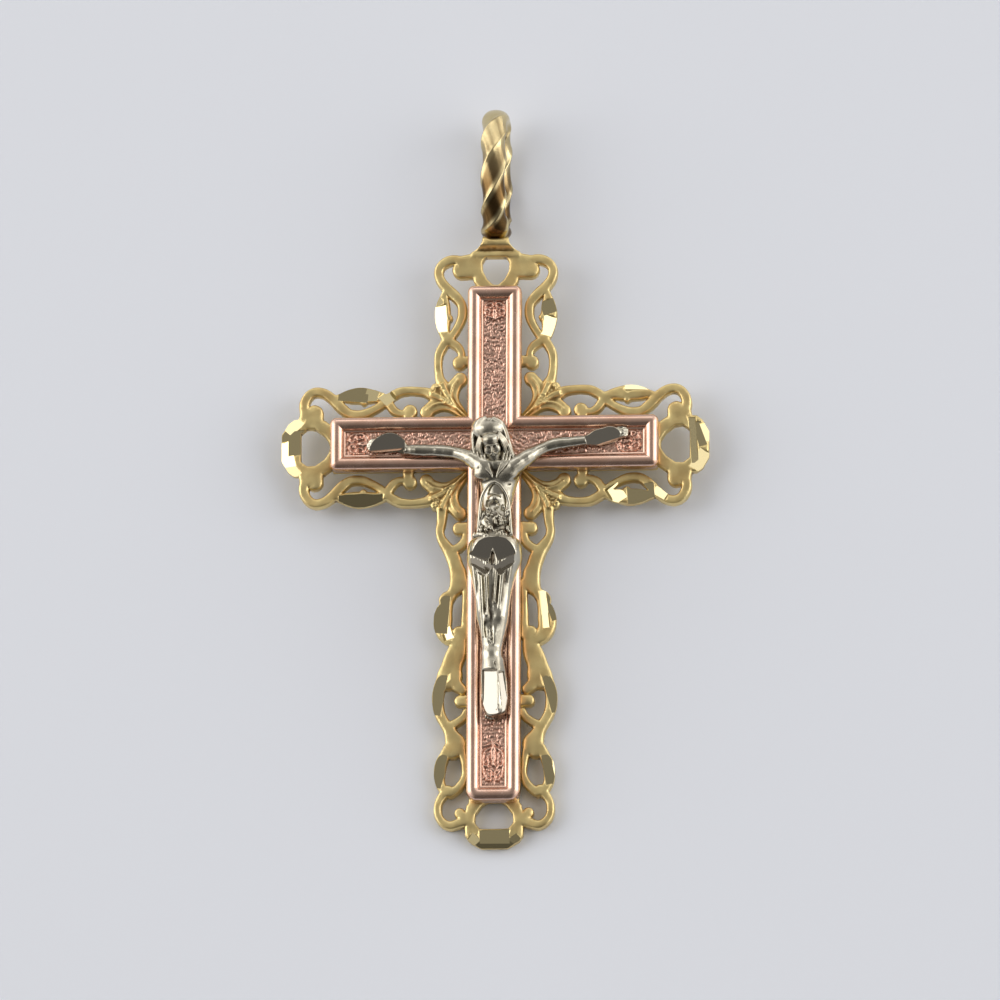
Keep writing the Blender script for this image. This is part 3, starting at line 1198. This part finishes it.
def add_feet(clay):
    clay.ball((-0.12, -16.75, 2.72), (0.80, 0.62, 0.66), 0.16)
    clay.rod([(-0.30, -17.3, 2.72, 0.56), (-0.30, -18.6, 2.74, 0.66), (-0.22, -20.2, 2.66, 0.68),
              (-0.10, -21.3, 2.52, 0.52)], 0.16)
    clay.rod([(0.42, -17.4, 2.60, 0.48), (0.58, -18.8, 2.66, 0.52), (0.66, -20.2, 2.58, 0.52),
              (0.60, -21.2, 2.46, 0.44)], 0.10)
    for k in range(5):
        clay.ball((-0.52 + 0.19 * k, -21.62 - 0.06 * (2 - abs(k - 2)), 2.42 + 0.02 * k), (0.13, 0.26, 0.20),
                  0.05)
    for k in range(4):
        clay.ball((0.44 + 0.17 * k, -21.44 + 0.07 * k, 2.40), (0.11, 0.24, 0.17), 0.05)
    clay.rod([(0.20, -17.6, 3.42, 0.05), (0.26, -19.4, 3.44, 0.06), (0.30, -21.3, 3.10, 0.05)], 0.06,
             press=True)
    clay.ball((-0.05, -18.0, 3.36), (0.16, 0.16, 0.12), 0.04)


def add_hand(clay, palm, side, lean):
    rows = fig_rod(palm)
    clay.rod(rows, 0.12, flat=0.85)
    x, y, z = rows[-1][:3]
    c, s = math.cos(lean), math.sin(lean)

    def finger(path, join):
        clay.rod([(x + side * (a * c) - s * b, y + side * a * s + b * c, z + h, q) for a, b, h, q in path],
                 join)

    for k in range(4):
        off = (k - 1.5) * 0.26
        tip = 0.80 - 0.12 * abs(k - 1.4)
        path = [(0.0, off, 0.10, 0.16), (0.40, off * 0.95, 0.12, 0.16), (tip, off * 0.72, 0.02, 0.14),
                (tip + 0.06, off * 0.65, -0.14, 0.12)]
        finger(path, 0.05)
    finger([(-0.85, 0.42, 0.05, 0.16), (-0.45, 0.62, 0.04, 0.16), (-0.02, 0.66, -0.02, 0.13)], 0.08)


# Head: bowed to the breast. The face is a plain one in even thirds, with closed eyes.
FACE_AT = np.array([-0.06, -0.62, 3.62])
FACE_UP = np.array([-0.19, 0.85, 0.49])
FACE_OUT = np.array([0.06, -0.49, 0.87])


def head_axes():
    up = FACE_UP / np.linalg.norm(FACE_UP)
    out = FACE_OUT - up * (FACE_OUT @ up)
    out = out / np.linalg.norm(out)
    return np.stack([np.cross(up, out), up, out])


def add_head(clay):
    axes = head_axes()

    def at(u, v, n):
        return FACE_AT + u * axes[0] + v * axes[1] + n * axes[2]

    def lump(c, r, join=0.06, press=False):
        clay.ball(at(*c), r, join, axes, press)

    def line(rows, join=0.05, press=False):
        clay.rod([tuple(at(u, v, n)) + (r,) for u, v, n, r in rows], join, press=press)

    # hair over the skull, then the face in front of it
    clay.ball((-0.30, 0.74, 3.36), (1.42, 1.08, 1.12), 0.15)
    clay.ball((-1.02, -1.15, 2.95), (0.56, 0.95, 0.62), 0.15)
    clay.ball((0.92, -1.20, 2.95), (0.62, 0.95, 0.62), 0.15)
    clay.ball((-0.30, -0.30, 2.95), (1.32, 1.25, 0.85), 0.2)
    lump((0, 0.0, 0.0), (0.74, 1.04, 0.84), 0.10)
    lump((0, 0.62, 0.22), (0.70, 0.52, 0.62), 0.12)
    lump((0, -0.62, 0.30), (0.50, 0.44, 0.42), 0.14)
    # cheeks, brow, closed eyes
    for s in (-1, 1):
        lump((s * 0.40, -0.18, 0.52), (0.24, 0.28, 0.22), 0.14)
        lump((s * 0.30, 0.12, 0.88), (0.20, 0.12, 0.15), 0.10, press=True)
        lump((s * 0.29, 0.11, 0.70), (0.165, 0.095, 0.10), 0.04)
        line([(s * 0.15, 0.075, 0.80, 0.022), (s * 0.29, 0.04, 0.815, 0.022),
              (s * 0.43, 0.075, 0.74, 0.022)], 0.02, press=True)
        line([(s * 0.10, 0.27, 0.84, 0.05), (s * 0.30, 0.31, 0.82, 0.055), (s * 0.50, 0.24, 0.68, 0.045)],
             0.08)
        lump((s * 0.085, -0.215, 0.90), (0.065, 0.06, 0.07), 0.05)
        line([(0.0, -0.33, 0.90, 0.05), (s * 0.16, -0.38, 0.86, 0.055), (s * 0.30, -0.52, 0.72, 0.045)], 0.05)
    line([(0, 0.26, 0.82, 0.07), (0, 0.02, 0.92, 0.075), (0, -0.18, 1.02, 0.095)], 0.07)
    # mouth
    line([(-0.14, -0.455, 0.82, 0.03), (0, -0.435, 0.88, 0.045), (0.14, -0.455, 0.82, 0.03)], 0.04)
    line([(-0.12, -0.535, 0.81, 0.03), (0, -0.545, 0.86, 0.05), (0.12, -0.535, 0.81, 0.03)], 0.04)
    line([(-0.15, -0.495, 0.84, 0.016), (0.15, -0.495, 0.84, 0.016)], 0.02, press=True)
    # beard in short locks
    for k in range(9):
        u = (k - 4) / 4
        line([(u * 0.46, -0.42 - 0.16 * (1 - abs(u)), 0.62 - 0.18 * u * u, 0.09),
              (u * 0.40, -0.82, 0.60 - 0.22 * u * u, 0.10),
              (u * 0.26, -1.16 + 0.12 * abs(u), 0.46 - 0.2 * u * u, 0.075),
              (u * 0.14, -1.38 + 0.2 * abs(u), 0.30, 0.045)], 0.05)
    # hair: locks combed over the skull, then long ones down to the shoulders
    for k in range(7):
        for side, rows in ((-1, LEFT_LOCK), (1, RIGHT_LOCK)):
            shift = (k - 3) * 0.125
            path = []
            for j, (x, y, z, r) in enumerate(rows):
                t = j / (len(rows) - 1)
                wave = 0.05 * math.sin(9 * t + k * 1.7)
                path.append((x + side * shift * (0.25 + t * 0.25) + wave * t,
                             y + 0.55 * shift * (1 - t) + 0.2 * abs(shift) * t,
                             z - abs(shift) * (0.25 + 0.55 * t), r * 0.62))
            clay.rod(smooth_rows(path, 3), 0.05)
    for k in range(8):
        t = (k - 3.5) / 3.5
        clay.rod(smooth_rows([(-0.25, 1.30 + 0.1 * t, 4.30 - 0.1 * abs(t), 0.09),
                              (-0.28 + 0.72 * t, 1.25, 4.20 - 0.30 * abs(t), 0.10),
                              (-0.28 + 1.20 * t, 0.80 - 0.2 * abs(t), 3.92 - 0.25 * abs(t), 0.09),
                              (-0.26 + 1.34 * t, 0.25, 3.62, 0.06)], 3), 0.07)
    # parted hair that frames the face, and its ends over the breast
    for s in (-1, 1):
        for k in range(4):
            out, low = 0.11 * k, 0.16 * k
            path = [at(s * (0.62 + out * 0.5), 0.78 + 0.06 * k, 0.30 - 0.08 * k),
                    at(s * (0.82 + out), 0.24, 0.40 - out), at(s * (0.88 + out), -0.46, 0.30 - out),
                    at(s * (0.80 + out), -1.15 - low, 0.20 - out),
                    at(s * (0.66 + 1.2 * out), -1.75 - low, 0.24 - out)]
            clay.rod(smooth_rows([tuple(p) + (r,) for p, r in zip(path, (0.07, 0.10, 0.10, 0.08, 0.05))],
                                 4), 0.04)
        for k in range(3):
            start = 1.30 - 0.24 * k
            clay.rod(smooth_rows([(0.10 + s * start, -0.95, 3.50, 0.09),
                                  (0.12 + s * (start - 0.18), -1.75, 3.66, 0.10),
                                  (0.14 + s * (0.62 - 0.16 * k), -2.45 - 0.12 * k, 3.78, 0.08),
                                  (0.15 + s * 0.16, -2.95 - 0.10 * k, 3.76, 0.05)], 4), 0.04)


CORPUS_FLATS = [
    # left hand: face and the strip below it
    (-8.55, 0.10, 2.68, -88, 15, 1.6, 3.4), (-8.45, -0.52, 2.60, -86, 60, 0.9, 3.0),
    # right hand
    (8.70, 0.52, 2.70, -72, 14, 1.7, 3.4), (8.70, -0.10, 2.62, -72, 60, 0.9, 3.0),
    # hips
    (-1.04, -8.42, 3.70, 250, 17, 1.9, 2.3), (1.14, -8.36, 3.70, -70, 17, 1.9, 2.3),
    (-1.20, -9.72, 3.60, 238, 33, 0.80, 2.5), (1.24, -9.66, 3.60, -58, 33, 0.80, 2.5),
    # feet
    (-0.12, -20.05, 2.98, 180, 13, 1.25, 3.8), (0.78, -19.90, 2.94, 8, 18, 0.55, 3.2)]


def figure():
    low = (FIGURE_SIDE - FIGURE_SPAN / 2 - 0.25, FIGURE_UP - FIGURE_H - 0.15, FIGURE_Z - 0.16)
    high = (FIGURE_SIDE + FIGURE_SPAN / 2 + 0.35, FIGURE_UP + 0.25, 5.0)
    cell = FIGURE_CELL
    clay = Clay(low, high, cell)
    add_trunk(clay)
    add_breast(clay)
    add_legs(clay)
    add_cloth(clay)
    add_feet(clay)
    clay.rod(fig_rod(LEFT_ARM), 0.18)
    clay.rod(fig_rod(RIGHT_ARM), 0.18)
    add_hand(clay, LEFT_PALM, -1, 0.02)
    add_hand(clay, RIGHT_PALM, 1, 0.14)
    add_head(clay)
    x, y, z = clay.axes[0][:, None, None], clay.axes[1][None, :, None], clay.axes[2][None, None, :]
    clay.f = soft_max(clay.f, (FIGURE_Z - z).astype(np.float32), 0.08)
    # room for the rim under the figure
    inside = np.minimum(np.abs(x) - INNER_W / 2, np.abs(y) - INNER_W / 2)
    well = np.minimum(np.abs(x), np.abs(y)) - (INNER_W / 2 - RIM_W - GAP)
    rim = np.maximum(np.maximum(inside, -well), z - RIM_TOP - GAP).astype(np.float32)
    clay.f = np.maximum(clay.f, -rim)
    mesh = cast("figure", clay.f, low, cell, 0.04)
    return thin_out(add_object("figure_cast", mesh), FIGURE_TRIANGLES)


# finishes

def metal(name, colour, gloss, grain=0.0, grain_size=0.12, tarnish=None, pits=None, cloud=0.06):
    """A cast or polished alloy. gloss is its roughness and cloud how far that varies, grain the height of its
    fine cast skin in mm, tarnish the colour it takes in soft clouds, and pits the colour of its hollows."""
    mat = bpy.data.materials.new(name)
    mat.use_nodes = True
    tree = mat.node_tree
    shader = tree.nodes["Principled BSDF"]
    shader.inputs["Metallic"].default_value = 1.0
    shader.inputs["Base Color"].default_value = colour + (1.0,)
    shader.inputs["Roughness"].default_value = gloss
    if tarnish is None:
        return mat
    place = tree.nodes.new("ShaderNodeTexCoord")

    def clouds(size, detail):
        noise = tree.nodes.new("ShaderNodeTexNoise")
        noise.inputs["Scale"].default_value = 1000.0 / size
        noise.inputs["Detail"].default_value = detail
        tree.links.new(place.outputs["Object"], noise.inputs["Vector"])
        return noise.outputs[0]

    def spread(value, low, high, to_low, to_high):
        node = tree.nodes.new("ShaderNodeMapRange")
        for label, number in (("From Min", low), ("From Max", high), ("To Min", to_low), ("To Max", to_high)):
            node.inputs[label].default_value = number
        tree.links.new(value, node.inputs["Value"])
        return node.outputs[0]

    def mixed(factor, first, second):
        node = tree.nodes.new("ShaderNodeMix")
        node.data_type = "RGBA"
        tree.links.new(factor, node.inputs["Factor"])
        for slot, value in ((node.inputs[6], first), (node.inputs[7], second)):
            if isinstance(value, tuple):
                slot.default_value = value + (1.0,)
            else:
                tree.links.new(value, slot)
        return node.outputs[2]

    skin = mixed(spread(clouds(1.7, 3.0), 0.42, 0.68, 0, 1), colour, tarnish)
    if pits is not None:
        hollow = tree.nodes.new("ShaderNodeAttribute")
        hollow.attribute_name = "hollow"
        skin = mixed(hollow.outputs["Fac"], skin, pits)
    tree.links.new(skin, shader.inputs["Base Color"])
    tree.links.new(spread(clouds(0.9, 4.0), 0.35, 0.65, gloss - cloud, gloss + cloud),
                   shader.inputs["Roughness"])
    if grain:
        bump = tree.nodes.new("ShaderNodeBump")
        bump.inputs["Strength"].default_value = 1.0
        bump.inputs["Distance"].default_value = grain / 1000
        tree.links.new(clouds(grain_size, 2.0), bump.inputs["Height"])
        tree.links.new(bump.outputs[0], shader.inputs["Normal"])
    return mat


satin_gold = metal("satin yellow gold", (0.84, 0.68, 0.32), 0.38, 0.012, 0.16, (0.74, 0.55, 0.24),
                   (0.30, 0.19, 0.07))
cut_gold = metal("diamond cut yellow gold", (0.86, 0.74, 0.42), 0.10)
rose_gold = metal("polished rose gold", (0.83, 0.57, 0.45), 0.25, 0.002, 0.3, (0.77, 0.49, 0.37), None, 0.03)
rose_floor = metal("punched rose gold", (0.76, 0.50, 0.39), 0.27, 0.0, 0.3, (0.82, 0.52, 0.40),
                   (0.50, 0.24, 0.17), 0.05)
white_gold = metal("polished white gold", (0.56, 0.53, 0.44), 0.20, 0.022, 0.6, (0.42, 0.39, 0.31),
                   (0.08, 0.065, 0.045))
cut_white = metal("diamond cut white gold", (0.60, 0.56, 0.48), 0.12)
bail_gold = metal("bail yellow gold", (0.68, 0.57, 0.32), 0.20, 0.004, 0.16, (0.56, 0.44, 0.23),
                  (0.15, 0.09, 0.035))

# pieces

lace = scroll_cross()
for finish in (satin_gold, cut_gold):
    lace.data.materials.append(finish)
cut_flats(mark_hollows(lace, 9, 0.035), LACE_FLATS)
lace.name = "scrollwork_cross"
finish_piece(relay(lace), "filigree_cross")

rim = rim_body()
rim.data.materials.append(rose_gold)
rim.name = "inner_cross_rim"
finish_piece(relay(rim), "inner_cross")

ground = close_slab(mark_hollows(apply_tree(floor_slab(), stipple_tree(rose_floor), STIPPLE), 5, 0.025), 0.5)
ground.name = "inner_cross_floor"
finish_piece(relay(ground), "inner_cross")

corpus = figure()
for finish in (white_gold, cut_white):
    corpus.data.materials.append(finish)
cut_flats(mark_hollows(corpus, 12, 0.03), CORPUS_FLATS)
corpus.name = "corpus_figure"
finish_piece(relay(corpus), "corpus")

loop = bail_loop(bail_gold)
loop.name = "twisted_bail"
finish_piece(relay(loop), "bail")

# paper, light, camera

bpy.ops.mesh.primitive_plane_add(size=4)
paper = bpy.context.object
paper.name = "paper"
card = bpy.data.materials.new("pale paper")
card.use_nodes = True
card.node_tree.nodes["Principled BSDF"].inputs["Base Color"].default_value = (0.78, 0.82, 0.90, 1)
card.node_tree.nodes["Principled BSDF"].inputs["Roughness"].default_value = 0.7
paper.data.materials.append(card)


def studio_walls():
    """Soft surroundings: bright walls left and right, a fair one beyond the bail, dark elsewhere."""
    world = bpy.data.worlds.new("studio")
    bpy.context.scene.world = world
    world.use_nodes = True
    tree = world.node_tree
    split = tree.nodes.new("ShaderNodeSeparateXYZ")
    place = tree.nodes.new("ShaderNodeTexCoord").outputs["Generated"]
    tree.links.new(place, split.inputs[0])
    x, y = (Wired(tree, slot) for slot in split.outputs[:2])
    sides = x.op("ABSOLUTE").ramp(0.30, 0.78) * (0.30 + 0.70 * y.ramp(-0.75, 0.0))
    beyond = y.ramp(0.12, 0.70)
    patches = tree.nodes.new("ShaderNodeTexNoise")
    patches.inputs["Scale"].default_value = 2.3
    patches.inputs["Detail"].default_value = 1.0
    tree.links.new(place, patches.inputs["Vector"])
    uneven = 0.45 + 0.85 * Wired(tree, patches.outputs[0]).ramp(0.38, 0.60)
    glow = 0.10 + 0.18 * y.ramp(-0.55, 0.10) + uneven * (1.35 * sides + 0.36 * beyond)
    shade = tree.nodes["Background"]
    shade.inputs["Color"].default_value = (1.0, 0.96, 0.92, 1)
    tree.links.new(glow.socket, shade.inputs["Strength"])


studio_walls()
bpy.context.scene.view_settings.view_transform = "Standard"


def softbox(name, place, size, watts, colour=(1, 1, 1)):
    """A rectangular light that looks at the pendant's middle."""
    data = bpy.data.lights.new(name, "AREA")
    data.shape = "RECTANGLE"
    data.size, data.size_y = size
    data.energy = watts
    data.color = colour
    obj = bpy.data.objects.new(name, data)
    bpy.context.scene.collection.objects.link(obj)
    obj.location = place
    obj.rotation_euler = (Vector() - Vector(place)).to_track_quat("-Z", "Y").to_euler()


softbox("left softbox", (-0.42, 0.04, 0.34), (0.22, 0.50), 0.45, (1.0, 0.99, 0.97))
softbox("right softbox", (0.42, 0.04, 0.34), (0.22, 0.50), 0.45, (1.0, 0.99, 0.97))
softbox("far softbox", (0.0, 0.52, 0.42), (0.50, 0.18), 0.25)

# The camera leans towards the foot. Its place to the right is taken up by the lens shift, so that upright
# bars stay upright. Distance and the picture's width are in metres, the leans are slopes.
CAMERA_FAR = 1.3
PICTURE_W = 0.0771
SENSOR_W = 36
LEAN_RIGHT = 0.07
LEAN_FOOT = math.tan(math.radians(15.2))
aim = Vector(lay_down([(0.39, -4.33, PLATE_T)])[0])
back = Vector((0, -LEAN_FOOT, 1)).normalized()
side = Vector((1, -0.012, 0))
side = (side - back * side.dot(back)).normalized()
up = back.cross(side)
lens = bpy.data.cameras.new("camera")
lens.sensor_width = SENSOR_W
lens.lens = SENSOR_W * CAMERA_FAR * math.hypot(1, LEAN_FOOT) / PICTURE_W
lens.shift_x = -LEAN_RIGHT * CAMERA_FAR / PICTURE_W
lens.clip_start, lens.clip_end = 0.01, 10
camera = bpy.data.objects.new("camera", lens)
bpy.context.scene.collection.objects.link(camera)
bpy.context.scene.camera = camera
place = aim + side * LEAN_RIGHT * CAMERA_FAR + back * CAMERA_FAR * math.hypot(1, LEAN_FOOT)
camera.matrix_world = Matrix.Translation(place) @ Matrix((side, up, back)).transposed().to_4x4()
